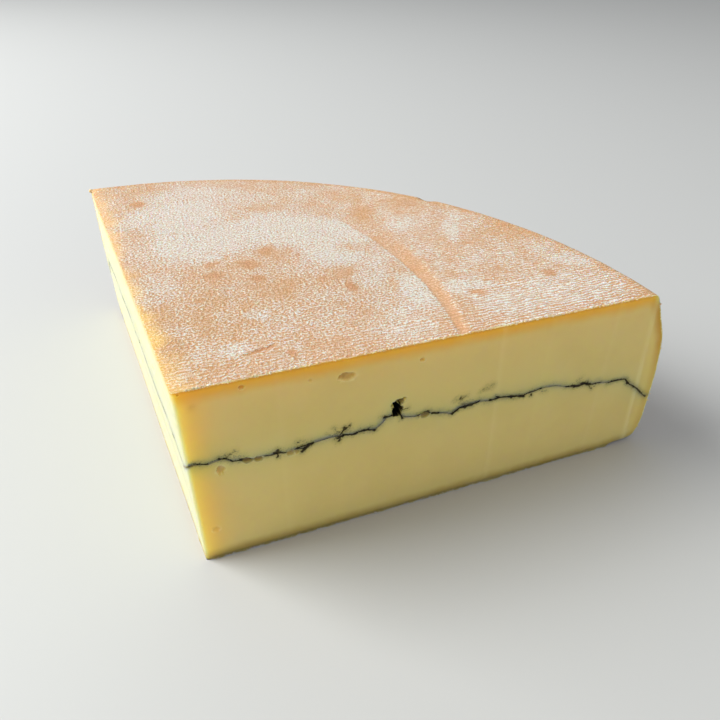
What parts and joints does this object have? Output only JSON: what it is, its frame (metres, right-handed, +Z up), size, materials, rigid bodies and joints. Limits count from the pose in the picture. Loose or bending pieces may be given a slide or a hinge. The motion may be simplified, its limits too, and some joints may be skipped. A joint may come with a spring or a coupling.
{
  "type": "morbier cheese wedge",
  "caption": "Large wedge cut from a round semi-soft cheese, with a washed rind, bulging heel and a dark wavy layer of ash through its paste.",
  "frame": {"origin": "centre of the bounding box at the flat base", "axes": "+Z up out of the base; -Y out of the front cut; the second cut faces roughly -X and the heel curves from +X round to +Y"},
  "size_m": [0.1954, 0.1752, 0.0714],
  "materials": {
    "paste": "satin, pale yellow semi-soft cheese paste",
    "rind": "matt, orange-pink washed rind with a white bloom and a fine cloth weave",
    "ash": "matt, blue-black vegetable ash"
  },
  "bodies": {
    "root": {"lower_half": "paste", "upper_half": "paste", "ash_layer": "ash"}
  },
  "joints": []
}
